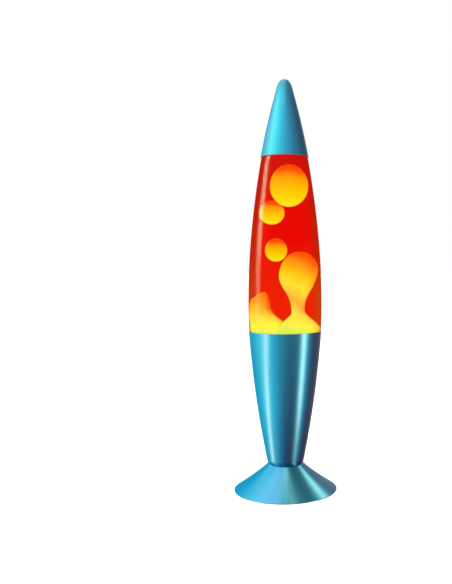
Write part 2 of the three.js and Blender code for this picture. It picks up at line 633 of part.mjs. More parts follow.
place("base_cup", baseCup(), BLUE_ALUMINIUM);
place("base_foot", baseFoot(), BLUE_ALUMINIUM);
place("bottom_plate", bottomPlate(), BLACK_PLASTIC);
place("felt_pad", feltPad(), FELT);
place("cord_grommet", cordGrommet(), RUBBER);
place("threaded_nipple", ring(NIPPLE.boreRadius, NIPPLE.radius, NIPPLE.bottomZ, NIPPLE.topZ), STEEL);
place("clamp_nut", hexNut(14, 18.6, 4.5), STEEL);
place("lock_washer", toothedWasher(23.4, 0.7), STEEL);
place("lower_washer", ring(HOLE_RADIUS, 12, 24.4, 25.8), STEEL);
place("upper_washer", ring(HOLE_RADIUS, 11, 28.3, 29.3), STEEL);

place("socket_body", socketBody(), PHENOLIC);
place("socket_screw_shell", socketScrewShell(), BRASS);
place("socket_contact", socketContact(), BRASS);
place("terminal_screw_line", terminalScrew(1), BRASS);
place("terminal_screw_neutral", terminalScrew(-1), STEEL);

place("bulb_contact", bulbContact(), STEEL);
place("bulb_insulator", bulbInsulator(), PHENOLIC);
place("bulb_screw_shell", bulbScrewShell(), STEEL);
place("bulb_glass", bulbGlass(), GLASS);
place("bulb_stem", bulbStem(), GLASS);
place("bulb_filament", bulbFilament(), STEEL);

place("cord_to_switch", cordToSwitch(), BLACK_PLASTIC);
place("cord_to_plug", cordToPlug(), BLACK_PLASTIC);
place("cord_tie", cordTie(), BLACK_PLASTIC);
place("switch_case_lower", switchCaseLower(), BLACK_PLASTIC);
place("switch_case_upper", switchCaseUpper(), BLACK_PLASTIC);
place("switch_rocker", switchRocker(), BLACK_PLASTIC);
place("rocker_pin", rockerPin(), STEEL);
place("switch_contact_lamp", contactStrip(-1), BRASS);
place("switch_contact_mains", contactStrip(1), BRASS);
SCREW_PLACES.forEach((spot, i) => place(`case_screw_${i + 1}`, caseScrew(spot), STEEL));
place("plug_body", plugBody(), BLACK_PLASTIC);
for (const [name, blade] of Object.entries(BLADES)) place(name, plugBlade(blade), BRASS);

export default lamp;
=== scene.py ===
"""Looks for a table-top liquid-motion lamp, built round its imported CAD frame.

Lengths are in metres unless a note says millimetres. +Z is up, and the front faces -Y.
"""

import json
import math

import bmesh
import bpy
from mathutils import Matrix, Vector


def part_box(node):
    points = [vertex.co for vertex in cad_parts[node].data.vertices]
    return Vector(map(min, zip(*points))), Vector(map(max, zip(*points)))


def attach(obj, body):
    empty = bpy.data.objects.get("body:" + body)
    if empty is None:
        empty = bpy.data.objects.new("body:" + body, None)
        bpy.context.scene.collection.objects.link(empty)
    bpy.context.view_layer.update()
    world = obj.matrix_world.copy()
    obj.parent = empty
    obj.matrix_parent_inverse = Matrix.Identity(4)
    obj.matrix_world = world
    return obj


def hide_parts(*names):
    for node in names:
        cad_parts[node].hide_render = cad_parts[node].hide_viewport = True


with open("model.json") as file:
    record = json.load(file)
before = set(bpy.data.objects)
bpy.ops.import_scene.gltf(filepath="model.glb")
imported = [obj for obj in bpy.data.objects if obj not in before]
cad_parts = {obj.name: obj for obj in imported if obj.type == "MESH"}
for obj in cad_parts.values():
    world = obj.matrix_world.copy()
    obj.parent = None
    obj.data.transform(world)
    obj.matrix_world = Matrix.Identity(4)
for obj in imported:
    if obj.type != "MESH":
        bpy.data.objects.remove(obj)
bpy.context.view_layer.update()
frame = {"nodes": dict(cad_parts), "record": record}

MM = 0.001
SHEET = 0.8 * MM  # wall of the spun metal shells
SKIN = 0.4 * MM  # shown thickness of the glass: its contents look as if they reach the outside
LEDGE = (0.938, 0.1437)  # the bottle's ledge on the cup's rim, as shares of its radius and height
FINE = 128  # facets round the large shells
MEDIUM = 64  # facets round the wax
ON_AXIS = 1e-7  # a smaller radius than this is a point on the axis


# ---------------------------------------------------------------- mesh helpers
def scaled(node, *points):
    """Points given as shares of a node's radius and height, as (radius, height) in metres."""
    low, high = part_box(node)
    return [(r * high.x, low.z + z * (high.z - low.z)) for r, z in points]


def bend(a, b, c, steps):
    """Points of a quadratic curve from a to c, pulled towards b."""
    points = []
    for i in range(steps + 1):
        t = i / steps
        points.append(tuple((1 - t) ** 2 * p + 2 * t * (1 - t) * q + t * t * r for p, q, r in zip(a, b, c)))
    return points


def arc(x, y, radius, start, end, steps):
    """Points round part of a circle, with the angles in radians."""
    angles = [start + (end - start) * i / steps for i in range(steps + 1)]
    return [(x + radius * math.cos(a), y + radius * math.sin(a)) for a in angles]


def offset(points, distance):
    """An outline moved sideways by distance, to the left of its direction of travel."""
    moved = []
    for i, p in enumerate(points):
        before = Vector(points[max(0, i - 1)])
        after = Vector(points[min(len(points) - 1, i + 1)])
        along = (after - before).normalized()
        moved.append((max(0.0, p[0] - along.y * distance), p[1] + along.x * distance))
    return moved


def piece(name, vertices, faces, sharp_degrees=40):
    """A smooth mesh object whose edges stay sharp where faces meet at more than sharp_degrees."""
    mesh = bpy.data.meshes.new(name)
    mesh.from_pydata(vertices, [], faces)
    work = bmesh.new()
    work.from_mesh(mesh)
    bmesh.ops.recalc_face_normals(work, faces=work.faces)
    work.to_mesh(mesh)
    work.free()
    mesh.polygons.foreach_set("use_smooth", [True] * len(mesh.polygons))
    mesh.set_sharp_from_angle(angle=math.radians(sharp_degrees))
    thing = bpy.data.objects.new(name, mesh)
    bpy.context.scene.collection.objects.link(thing)
    return thing


def turned_mesh(outline, facets, start=0):
    """Vertices and faces of a solid of revolution about Z, numbered from start."""
    closed = outline[0][0] > 0 or outline[-1][0] > 0
    vertices, rings = [], []
    for r, z in outline:
        count = facets if r > ON_AXIS else 1
        rings.append([start + len(vertices) + i for i in range(count)])
        for i in range(count):
            a = 2 * math.pi * i / facets
            vertices.append((r * math.cos(a), r * math.sin(a), z))
    pairs = list(zip(rings, rings[1:] + rings[:1])) if closed else list(zip(rings, rings[1:]))
    faces = []
    for low, high in pairs:
        for i in range(facets):
            j = (i + 1) % facets
            corners = [low[i % len(low)], low[j % len(low)], high[j % len(high)], high[i % len(high)]]
            unique = list(dict.fromkeys(corners))
            if len(unique) > 2:
                faces.append(unique)
    return vertices, faces


def turned(name, outline, facets=FINE, sharp_degrees=40):
    return piece(name, *turned_mesh(outline, facets), sharp_degrees)


def swept(name, section, points, across):
    """A section carried along points. Its x axis stays as near to across as it can."""
    points = [Vector(p) for p in points]
    vertices, faces = [], []
    for i, p in enumerate(points):
        along = (points[min(i + 1, len(points) - 1)] - points[max(i - 1, 0)]).normalized()
        side = (across - along * across.dot(along)).normalized()
        up = along.cross(side)
        vertices += [p + side * x + up * y for x, y in section]
    n = len(section)
    for i in range(len(points) - 1):
        for j in range(n):
            k = (j + 1) % n
            faces.append([i * n + j, i * n + k, (i + 1) * n + k, (i + 1) * n + j])
    faces.append(list(range(n))[::-1])
    faces.append([len(vertices) - n + j for j in range(n)])
    return piece(name, vertices, faces, sharp_degrees=50)


def eased(guides, steps):
    """A smooth path through guide points."""
    ends = [Vector(guides[0])] + [Vector(g) for g in guides] + [Vector(guides[-1])]
    path = []
    for i in range(1, len(ends) - 2):
        a, b, c, d = ends[i - 1:i + 3]
        for k in range(steps):
            t = k / steps
            path.append(0.5 * (2 * b + (c - a) * t + (2 * a - 5 * b + 4 * c - d) * t * t
                               + (3 * b - a - 3 * c + d) * t ** 3))
    return path + [ends[-1]]


def show(thing, body, slot, material, *nodes):
    """Puts a piece on its body and in its material, in place of CAD nodes. slot is not used."""
    thing.data.materials.append(material)
    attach(thing, body)
    if nodes:
        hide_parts(*nodes)
    return thing


# ---------------------------------------------------------------- node helpers
WHITE = (1, 1, 1, 1)
BLACK = (0, 0, 0, 1)


def srgb(r, g, b):
    """A colour given as 0-255 display values, as linear RGBA."""
    def linear(v):
        v /= 255
        return v / 12.92 if v <= 0.04045 else ((v + 0.055) / 1.055) ** 2.4
    return (linear(r), linear(g), linear(b), 1.0)


class Tree:
    """A node tree written as nested calls: each returns its node's first output."""

    def __init__(self, owner):
        owner.use_nodes = True
        self.nodes = owner.node_tree.nodes
        self.links = owner.node_tree.links
        self.nodes.clear()

    def set(self, socket, value):
        if isinstance(value, bpy.types.NodeSocket):
            self.links.new(value, socket)
        elif value is not None:
            socket.default_value = value

    def node(self, kind, inputs=None, **settings):
        made = self.nodes.new("ShaderNode" + kind)
        for key, value in settings.items():
            setattr(made, key, value)
        for key, value in (inputs or {}).items():
            self.set(made.inputs[key], value)
        return made

    def math(self, operation, a, b=None):
        return self.node("Math", {0: a, 1: b}, operation=operation).outputs[0]

    def multiply(self, a, b):
        return self.math("MULTIPLY", a, b)

    def add(self, a, b):
        return self.math("ADD", a, b)

    def bell(self, value):
        """1 where value is 0, falling off smoothly on both sides."""
        return self.math("EXPONENT", self.multiply(self.multiply(value, value), -1))

    def dot(self, a, b):
        return self.node("VectorMath", {0: a, 1: b}, operation="DOT_PRODUCT").outputs["Value"]

    def ramp(self, factor, *stops):
        made = self.node("ValToRGB", {"Fac": factor})
        elements = made.color_ramp.elements
        while len(elements) < len(stops):
            elements.new(1)
        for element, (place, colour) in zip(elements, stops):
            element.position = place
            element.color = colour
        return made.outputs["Color"]

    def span(self, value, low, high, to_low=0.0, to_high=1.0):
        """value taken from low..high to to_low..to_high, smoothly and with stops at the ends."""
        inputs = {"Value": value, "From Min": low, "From Max": high, "To Min": to_low, "To Max": to_high}
        return self.node("MapRange", inputs, interpolation_type="SMOOTHSTEP").outputs["Result"]

    def mix(self, factor, a, b, blend="MIX"):
        made = self.node("Mix", data_type="RGBA", blend_type=blend)
        for key, value in ((0, factor), (6, a), (7, b)):
            self.set(made.inputs[key], value)
        return made.outputs[2]

    def add_colour(self, a, b):
        return self.mix(1.0, a, b, "ADD")

    def object_place(self):
        return self.node("TexCoord").outputs["Object"]

    def height(self):
        """How high above the table a point lies at rest."""
        return self.node("SeparateXYZ", {0: self.object_place()}).outputs["Z"]

    def edge(self):
        """0 where a surface faces the eye, rising to 1 where it turns away."""
        return self.node("LayerWeight", {"Blend": 0.5}).outputs["Facing"]

    def noise(self, scale, detail, stretch=(1, 1, 1)):
        place = self.node("Mapping", {"Vector": self.object_place(), "Scale": stretch}).outputs[0]
        return self.node("TexNoise", {"Vector": place, "Scale": scale, "Detail": detail}).outputs[0]

    def bump(self, height, distance, strength=1.0):
        return self.node("Bump", {"Height": height, "Distance": distance, "Strength": strength}).outputs[0]

    def emission(self, colour):
        return self.node("Emission", {"Color": colour, "Strength": 1.0}).outputs[0]

    def mix_shader(self, factor, a, b):
        return self.node("MixShader", {0: factor, 1: a, 2: b}).outputs[0]

    def finish(self, shader, kind="OutputMaterial"):
        self.links.new(shader, self.node(kind).inputs["Surface"])


def material(name):
    made = bpy.data.materials.new(name)
    return made, Tree(made)


# ---------------------------------------------------------------- materials
def painted_metal():
    """Satin blue metallic finish over spun aluminium: fine flake, faint turning lines and a duller tip."""
    made, t = material("blue_aluminium")
    flake = t.noise(2600, 2)
    lines = t.noise(14, 4, stretch=(0.2, 0.2, 60))
    cloud = t.noise(22, 3)
    colour = t.mix(t.span(cloud, 0.35, 0.65), srgb(44, 155, 184), srgb(49, 160, 188))
    colour = t.mix(t.span(flake, 0.55, 0.75, 0, 0.12), colour, srgb(90, 190, 212))
    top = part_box("lamp_cap")[1].z
    dull = t.math("POWER", t.span(t.height(), top - 40 * MM, top - 3 * MM), 2)
    rough = t.add(t.span(lines, 0.3, 0.7, 0.19, 0.21), t.span(flake, 0.3, 0.7, 0, 0.02))
    rough = t.add(rough, t.multiply(dull, 0.35))
    bumps = t.add(flake, t.multiply(lines, 0.12))
    shader = t.node("BsdfPrincipled", {
        "Base Color": colour, "Metallic": 1.0, "Roughness": rough, "Specular Tint": (0.06, 0.42, 0.55, 1),
        "Normal": t.bump(bumps, 0.01 * MM, 0.12), "Coat Weight": 1.0, "Coat IOR": 1.45,
        "Coat Roughness": t.math("SUBTRACT", rough, 0.05),
    })
    t.finish(shader.outputs[0])
    return made


def plain_plastic(name, colour, roughness, grain, depth, specular=0.5):
    """Moulded plastic or rubber: a fine grain, and a little variation in its gloss."""
    made, t = material(name)
    fine = t.noise(grain, 3)
    cloud = t.noise(40, 3)
    light = tuple(min(1, c * 1.5 + 0.004) for c in colour[:3]) + (1,)
    shader = t.node("BsdfPrincipled", {
        "Base Color": t.mix(t.span(cloud, 0.3, 0.7), colour, light),
        "Roughness": t.span(fine, 0.3, 0.7, roughness - 0.05, roughness + 0.07),
        "Specular IOR Level": specular, "Normal": t.bump(fine, depth, 0.6),
    })
    t.finish(shader.outputs[0])
    return made


def plain_metal(name, colour, roughness):
    """Plated or turned hardware: fine lines and slight tarnish."""
    made, t = material(name)
    lines = t.noise(60, 4, stretch=(1, 1, 18))
    tarnish = t.noise(120, 3)
    dull = tuple(c * 0.7 for c in colour[:3]) + (1,)
    shader = t.node("BsdfPrincipled", {
        "Base Color": t.mix(t.span(tarnish, 0.45, 0.75), colour, dull), "Metallic": 1.0,
        "Roughness": t.span(lines, 0.3, 0.7, roughness - 0.06, roughness + 0.08),
        "Normal": t.bump(lines, 0.02 * MM, 0.4),
    })
    t.finish(shader.outputs[0])
    return made


def felt():
    made, t = material("dark_felt")
    fibre = t.noise(900, 5, stretch=(1, 1, 0.3))
    shader = t.node("BsdfPrincipled", {
        "Base Color": t.mix(t.span(fibre, 0.3, 0.7), srgb(34, 35, 38), srgb(66, 68, 73)),
        "Roughness": 0.95, "Sheen Weight": 0.4, "Normal": t.bump(fibre, 0.3 * MM),
    })
    t.finish(shader.outputs[0])
    return made


def glass():
    """Clear glass. Against the liquid it is a thin skin that only mirrors the lights, more so higher up.

    Bare, at the neck and the foot of the bottle, its edges show.
    """
    made, t = material("clear_glass")
    height = t.height()
    edge = t.edge()
    low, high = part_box("glass_bottle")
    seat = low.z + 0.13 * (high.z - low.z)
    shoulder = low.z + 0.875 * (high.z - low.z)
    fade = 4 * MM
    bare = t.add(t.span(height, seat - fade, seat, 1, 0), t.span(height, shoulder, shoulder + fade))
    share = t.span(height, seat, shoulder, 0.0002, 0.0014)
    share = t.add(share, t.multiply(bare, t.span(edge, 0, 1, 0.04, 0.4)))
    bare_tint = t.mix(edge, (0.95, 0.98, 0.97, 1), (0.35, 0.5, 0.47, 1))
    tint = t.mix(bare, (0.99, 0.995, 0.995, 1), bare_tint)
    clear = t.node("BsdfTransparent", {"Color": tint}).outputs[0]
    ripple = t.bump(t.noise(18, 2), 0.4 * MM, 0.2)
    mirror = t.node("BsdfAnisotropic", {"Color": WHITE, "Roughness": 0.15, "Normal": ripple}).outputs[0]
    t.finish(t.mix_shader(share, clear, mirror))
    return made


def liquid_material():
    """Red dyed liquid with painted light. Its far side is a painted glow behind the wax, and its near side
    is a thin veil over the wax that turns to painted shade towards the outline.
    """
    made, t = material("red_liquid")
    edge = t.edge()
    low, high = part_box("liquid")
    share = t.span(t.height(), low.z, high.z)
    # glow: painted light of the lamp below, given off by the liquid though it is no lamp: brighter and more
    # orange low down, darker red at the top
    glow = t.ramp(share, (0.0, srgb(241, 36, 3)), (0.35, srgb(239, 20, 1)), (0.55, srgb(234, 4, 0)),
                  (0.8, srgb(230, 6, 0)), (1.0, srgb(212, 14, 3)))
    # rim: painted shade, a darker brownish red where the liquid turns away towards its outline
    rim = t.ramp(share, (0.1, srgb(206, 62, 14)), (0.4, srgb(196, 34, 5)), (1.0, srgb(190, 22, 3)))
    far = t.emission(t.mix(t.span(edge, 0.2, 0.62), glow, rim))
    clear = t.node("BsdfTransparent", {"Color": (1.0, 0.99, 0.97, 1)}).outputs[0]
    # near side: clear where it faces the eye, turning towards the outline into the painted shade of rim,
    # given off as light
    near = t.mix_shader(t.span(edge, 0.6, 1.0, 0.0, 0.8), clear, t.emission(rim))
    t.finish(t.mix_shader(t.node("NewGeometry").outputs["Backfacing"], near, far))
    return made


def wax(name, low_z, high_z, shade_tilt, right_shade, *stops):
    """Translucent wax: its own orange with a painted glow, as if lit by the lamp below, mottled and turning
    from yellow low down to orange with height.

    shade_tilt moves the orange down on the right side, as painted shade on the side away from the light.
    right_shade is how far the right side turns to a painted orange shade at any height.
    """
    made, t = material(name)
    limits = {"Value": t.height(), "From Min": low_z, "From Max": high_z}
    share = t.node("MapRange", limits).outputs["Result"]
    rightward = t.node("SeparateXYZ", {0: t.node("NewGeometry").outputs["Normal"]}).outputs["X"]
    wander = t.span(t.noise(110, 4), 0.3, 0.7, -0.02, 0.02)
    place = t.add(t.add(share, wander), t.multiply(rightward, shade_tilt))
    # colour: the painted glow by height, with its orange moved lower on the right side as painted shade
    colour = t.ramp(place, *[(stop, srgb(*shade)) for stop, shade in stops])
    # painted shade: the right side turns orange, as if lit from the left
    colour = t.mix(t.span(rightward, 0.4, 1.0, 0, right_shade), colour, srgb(240, 76, 4))
    # painted shade: darker orange where the wax turns away towards its outline
    colour = t.mix(t.span(t.edge(), 0.62, 0.95, 0, 0.8), colour, srgb(206, 78, 6))
    # the wax gives off its colour as painted light, though it is no lamp; its lit colour is kept dim
    shader = t.node("BsdfPrincipled", {
        "Base Color": t.mix(0.85, colour, BLACK), "Roughness": 0.45, "Emission Color": colour,
        "Emission Strength": 0.95, "Specular IOR Level": 0.05,
    })
    t.finish(shader.outputs[0])
    return made


# ---------------------------------------------------------------- shells
def lamp_cap():
    rim, pull, shoulder, corner, tip = scaled(
        "lamp_cap", (1, 0), (0.752, 0.426), (0.347, 0.865), (0.256, 1), (0, 1))
    outside = bend(rim, pull, shoulder, 24) + bend(shoulder, corner, tip, 12)[1:]
    inside = offset(outside, SHEET)
    inside[-1] = (0.0, tip[1] - SHEET)
    inside[0] = (rim[0] - SHEET, rim[1])
    return turned("cap_shell", inside[::-1] + outside)


def bottle_side():
    """The bottle's outer surface, from the cup's rim to the cap's rim."""
    seat, a, b, belly, c, shoulder, tuck = scaled(
        "glass_bottle", (0.97, 0.1475), (0.984, 0.159), (1, 0.206), (1, 0.2595), (1, 0.549),
        (0.642, 0.8653), (0.634, 0.8674))
    return [seat] + bend(a, b, belly, 8) + bend(belly, c, shoulder, 40)[1:] + [tuck]


def bottle_outline():
    """The whole bottle's outer surface, from its floor to its lip."""
    under = scaled("glass_bottle", (0, 0.012), (0.32, 0.012), (0.5, 0), (0.64, 0))
    wall = scaled("glass_bottle", (0.64, 0), (0.84, 0), (0.866, 0.03), (0.9, 0.08), LEDGE)
    neck = scaled("glass_bottle", (0.611, 0.8685), (0.597, 0.881), (0.52, 0.943), (0.343, 0.949),
                  (0.343, 0.974), (0.356, 0.978), (0.356, 0.995), (0.33, 1))
    bottom = under[:1] + bend(under[1], under[2], under[3], 6) + bend(*wall[:3], 6)[1:] + wall[3:]
    return bottom + bottle_side() + neck[:1] + bend(*neck[1:4], 12) + neck[4:]


def glass_bottle():
    outside = bottle_outline()
    inside = offset(outside, SKIN)
    inside[0] = (0.0, outside[0][1] + SKIN)
    bore = scaled("glass_bottle", (0.25, 1))[0]
    return turned("bottle_skin", outside + [bore] + inside[::-1], sharp_degrees=50)


def inner_radius(side, z, gap):
    """The radius just inside the glass skin at height z, from the bottle's side outline."""
    for low, high in zip(side, side[1:]):
        if low[1] <= z <= high[1] and high[1] > low[1]:
            return low[0] + (high[0] - low[0]) * (z - low[1]) / (high[1] - low[1]) - gap
    return (side[0] if z < side[0][1] else side[-1])[0] - gap - MM


def liquid():
    """The liquid, which follows the inside of the glass skin down past the ledge on the cup's rim."""
    gap, ledge_gap, below_floor = 0.25 * MM, 0.5 * MM, 2 * MM
    side = offset(bottle_side(), SKIN + gap)
    low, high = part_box("liquid")
    ledge = scaled("glass_bottle", LEDGE)[0]
    step = (ledge[0] - SKIN - ledge_gap, side[0][1])
    under = (step[0], low.z - below_floor)
    neck = scaled("glass_bottle", (0.54, 0.905), (0.45, 0.91))
    lid = [neck[0], (neck[1][0], high.z), (0, high.z)]
    return turned("liquid_fill", [(0, under[1]), under, step] + side + lid)


def cup():
    low, pull, rim = scaled("base_cup", (0.492, 0.006), (0.858, 0.481), (1, 1))
    outside = bend(low, pull, rim, 32)
    lip_flat = 0.25 * MM
    lip = [(rim[0] - lip_flat, rim[1]), (rim[0] - SHEET, rim[1])]
    inside = [(r - SHEET, z) for r, z in outside][::-1]
    floor = scaled("base_cup", (0.145, 0.006), (0.145, 0), (0.473, 0))
    inside[-1] = (inside[-1][0], floor[0][1])
    return turned("cup_shell", floor[1:] + outside + lip + inside[1:] + floor[:1])


def notch_cutter():
    """An arched bar that cuts the foot's back where the cord's bush sits."""
    overlap, front, back, below = 0.6 * MM, 37 * MM, 60 * MM, 5 * MM
    low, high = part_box("cord_grommet")
    radius = (high.x - low.x) / 2 - overlap
    arch = arc(0, (low.z + high.z) / 2, radius, 0, math.pi, 16) + [(-radius, -below), (radius, -below)]
    vertices = [(x, front, z) for x, z in arch] + [(x, back, z) for x, z in arch]
    n = len(arch)
    faces = [list(range(n)), [n + i for i in range(n)][::-1]]
    faces += [[i, (i + 1) % n, n + (i + 1) % n, n + i] for i in range(n)]
    return piece("foot_notch", vertices, faces)


def foot():
    """A flared foot with a rolled edge. It has a notch at the back for the cord's bush."""
    hole, top, pull, edge = scaled("base_foot", (0.103, 1), (0.326, 1), (0.581, 0.551), (0.999, 0.02))
    side = bend(top, pull, edge, 32)
    roll = scaled("base_foot", (1, 0.012), (0.998, 0), (0.985, 0.008))
    inside = offset(side, -SHEET)[::-1]
    underside = (hole[0], top[1] - SHEET)
    corner_setback = 0.4 * MM
    inside[-1] = (top[0] - corner_setback, underside[1])
    shell = turned("foot_shell", [hole] + side + roll + inside[1:] + [underside])
    cutter = notch_cutter()
    cut = shell.modifiers.new("notch", "BOOLEAN")
    cut.operation = "DIFFERENCE"
    cut.object = cutter
    applied = bpy.data.meshes.new_from_object(shell.evaluated_get(bpy.context.evaluated_depsgraph_get()))
    shell.modifiers.clear()
    shell.data = applied
    bpy.data.objects.remove(cutter)
    applied.set_sharp_from_angle(angle=math.radians(40))
    return shell


# ---------------------------------------------------------------- wax
def wax_blob(node):
    """A nearly round drop, a little fuller below."""
    fuller, steps = 0.02, 32
    low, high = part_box(node)
    centre = (low + high) / 2
    half = (high - low) / 2
    outline = []
    for i in range(steps + 1):
        a = math.pi * i / steps
        outline.append((half.x * math.sin(a) * (1 + fuller * math.cos(a)), half.z * -math.cos(a)))
    outline[0] = (0, -half.z)
    outline[-1] = (0, half.z)
    vertices, faces = turned_mesh(outline, MEDIUM)
    return piece(node + "_drop", [Vector(v) + centre for v in vertices], faces)


def smooth_outline(points):
    """A turned outline rounded through (radius, height) points, from the axis at the bottom to the top."""
    path = eased([(r, z, 0) for r, z in points], 6)
    return [(0, points[0][1])] + [(max(0.0, p.x), p.y) for p in path[:-1]] + [points[-1]]


def shift_at(lean, z):
    """How far the middle of a leaning shape has moved at height z, between (height, shift) pairs."""
    for (z0, x0), (z1, x1) in zip(lean, lean[1:]):
        if z < z1:
            t = min(1.0, max(0.0, (z - z0) / (z1 - z0)))
            return x0 + (x1 - x0) * t * t * (3 - 2 * t)
    return lean[-1][1]


def standing(outline, lean, place, gap, start=0):
    """Vertices and faces of a shape turned about a leaning line at place, kept inside the glass."""
    x, y = place
    side = bottle_side()
    vertices, faces = turned_mesh([(r * MM, z * MM) for r, z in smooth_outline(outline)], MEDIUM, start)
    kept = []
    for vx, vy, z in vertices:
        px, py = vx + (x + shift_at(lean, z / MM)) * MM, vy + y * MM
        r, most = math.hypot(px, py), inner_radius(side, z, gap * MM)
        share = min(1.0, most / r) if r > 0 else 1.0
        kept.append((px * share, py * share, z))
    return kept, faces


# In millimetres: the pool with the column that rises from it and opens into a head, and the mound beside it.
# Each outline is (radius, height) about a line that stands at a place and leans by (height, shift).
COLUMN = [
    (41, 150), (35, 152), (30, 156.5), (17.5, 168), (11, 173.5), (7.5, 177), (6.8, 182), (8, 189.5),
    (11, 196.5), (15.5, 204), (19, 212.5), (19.5, 220.5), (17.5, 228.5), (11.5, 236), (5.5, 239), (0, 239.6),
]
COLUMN_PLACE = (12.9, -3)
COLUMN_LEAN = [(160, 0.3), (170, 1.2), (175, 1.2), (181, 0.2), (208, -0.2), (230, 1.9), (240, 1.9)]
COLUMN_GLASS_GAP = 0.9
MOUND = [
    (44, 150), (36, 160), (26, 168), (17.5, 175), (13.5, 181.5), (10, 190), (5.5, 195.5), (2.5, 198),
    (0, 198.5),
]
MOUND_PLACE = (-28.4, 11)
MOUND_LEAN = [(180, 0), (190, 1.8), (195.5, 4.6), (199, 5.6)]
MOUND_GLASS_GAP = 1.1


def wax_pool():
    """The column and the mound as one piece, and how many of its faces are the column's."""
    column, column_faces = standing(COLUMN, COLUMN_LEAN, COLUMN_PLACE, COLUMN_GLASS_GAP)
    mound, mound_faces = standing(MOUND, MOUND_LEAN, MOUND_PLACE, MOUND_GLASS_GAP, len(column))
    whole = piece("wax_column", column + mound, column_faces + mound_faces, sharp_degrees=60)
    return whole, len(column_faces)


# ---------------------------------------------------------------- cord
def cord_section():
    """Two round cores side by side with a groove between them."""
    core, groove = 1.3 * MM, 0.85 * MM
    right = arc(core, 0, core, math.radians(-120), math.radians(120), 12)
    left = [(-x, -y) for x, y in right]
    return right + [(0, groove)] + left + [(0, -groove)]


def middle_height(node):
    """The height of a node's middle, in millimetres."""
    low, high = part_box(node)
    return (low.z + high.z) / 2 / MM


def cord_to_switch():
    """In millimetres: down the nipple, out through the bush at the foot's back and up to the switch."""
    bush_z = middle_height("cord_grommet")
    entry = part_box("cord_to_switch")[1].y / MM
    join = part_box("switch_case_upper")[0].z / MM
    guides = [
        (0, 0, 36), (0, 0, 26), (0, 0.6, 16), (0, 8, 8.6), (0, 20, 6.6), (0, 33, bush_z), (0, 37, bush_z),
        (0, 55, bush_z), (0, 59, bush_z), (0, 68, 9.4), (0, 78, 14), (0, entry, join),
    ]
    path = [Vector(p) * MM for p in eased(guides, 6)]
    return swept("cord_lamp_side", cord_section(), path, Vector((1, 0, 0)))


def cord_to_plug():
    """In millimetres: down from the plug to a flat hank, round it outwards and up to the switch."""
    middle, z = -3, 3.2  # the hank's middle, and its height above the table
    near_y, far_y = 88, 190  # centres of its round ends
    inner, pitch, turns = 5, 3.1, 4
    plug_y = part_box("plug_body")[0].y / MM
    plug_z = middle_height("plug_body")
    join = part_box("switch_case_upper")[0].z / MM
    switch_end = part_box("switch_case_upper")[1].y / MM
    path = eased([
        (0, plug_y + 12, plug_z), (0, plug_y + 8, plug_z), (0, plug_y - 1, plug_z), (0, plug_y - 5, plug_z),
        (0.2, 160, 8.6), (1.2, 146, 3.8), (middle + inner, 130, z), (middle + inner, near_y + 20, z),
    ], 6)[:-1]
    for turn in range(turns):
        radius = inner + turn * pitch
        bends = arc(middle - pitch / 2, near_y, radius + pitch / 2, 0, -math.pi, 20)
        if turn < turns - 1:
            bends += arc(middle, far_y, radius + pitch, math.pi, 0, 20)
        path += [Vector((x, y, z)) for x, y in bends]
    outer = middle - inner - turns * pitch
    path += eased([
        (outer, 110, z), (outer, 128, z), (outer, 144, 4.4), (-18.8, 157, 9.6), (-12.4, 164.4, 14.6),
        (-5.4, 162.4, 16.4), (-1.1, 152, 16), (0, switch_end + 3, join), (0, switch_end - 4, join),
    ], 8)
    return swept("cord_plug_side", cord_section(), [p * MM for p in path], Vector((0, 0, 1)))


# ---------------------------------------------------------------- parts whose CAD shape stays
WELD_DISTANCE = 0.001 * MM


def soften(node, bevel, degrees=30):
    """Rounds a CAD node's edges a little and smooths its turned faces."""
    thing = frame["nodes"][node]
    thing.data.polygons.foreach_set("use_smooth", [True] * len(thing.data.polygons))
    weld = thing.modifiers.new("weld", "WELD")
    weld.merge_threshold = WELD_DISTANCE
    if bevel:
        rounding = thing.modifiers.new("bevel", "BEVEL")
        rounding.width = bevel
        rounding.segments = 3
        rounding.angle_limit = math.radians(degrees)
        rounding.harden_normals = True
    else:
        split = thing.modifiers.new("split", "EDGE_SPLIT")
        split.split_angle = math.radians(degrees)


BEVELS = {
    "switch_case_lower": 0.7 * MM, "switch_case_upper": 0.9 * MM, "switch_rocker": 0.5 * MM,
    "plug_body": 1.1 * MM, "plug_blade_line": 0.25 * MM, "plug_blade_neutral": 0.25 * MM,
    "cord_tie": 0.15 * MM, "bottom_plate": 0.25 * MM, "felt_pad": 0.4 * MM, "clamp_nut": 0.3 * MM,
}


def dress_cad(materials):
    """Gives every CAD node the material of its slot, and softens the ones that stay in sight."""
    slots = {part["node"]: part["material_slot"] for part in frame["record"]["subparts"]}
    for name, thing in frame["nodes"].items():
        thing.data.materials.clear()
        thing.data.materials.append(materials[slots[name]])
        if not thing.hide_render:
            soften(name, BEVELS.get(name, 0))


# ---------------------------------------------------------------- studio
# The studio's light by compass bearing in degrees, with the camera at 0 and its left negative. LEVEL is what
# the cup mirrors and RAISED is what the cap mirrors.
LEVEL = [
    (-180, (0.15, 0.45, 0.5)), (-160, (0.05, 0.7, 0.8)), (-139, (0.06, 0.86, 1.03)),
    (-105, (0.35, 1.22, 1.28)), (-80, (1.2, 1.65, 1.55)), (-48, (0.5, 1.3, 1.32)), (-30, (0.38, 0.92, 1.05)),
    (-12, (0.36, 0.6, 0.74)), (5, (0.34, 0.42, 0.48)), (22, (0.33, 0.3, 0.34)), (50, (0.34, 0.4, 0.46)),
    (75, (0.34, 0.8, 0.95)), (92, (0.34, 0.36, 0.44)), (105, (0.36, 0.18, 0.22)), (120, (0.38, 0.14, 0.18)),
    (150, (0.4, 0.2, 0.24)), (180, (0.15, 0.45, 0.5)),
]
LOW_TINT = (0.8, 0.2, 0.37, 1)  # what is left of LEVEL far below the horizon
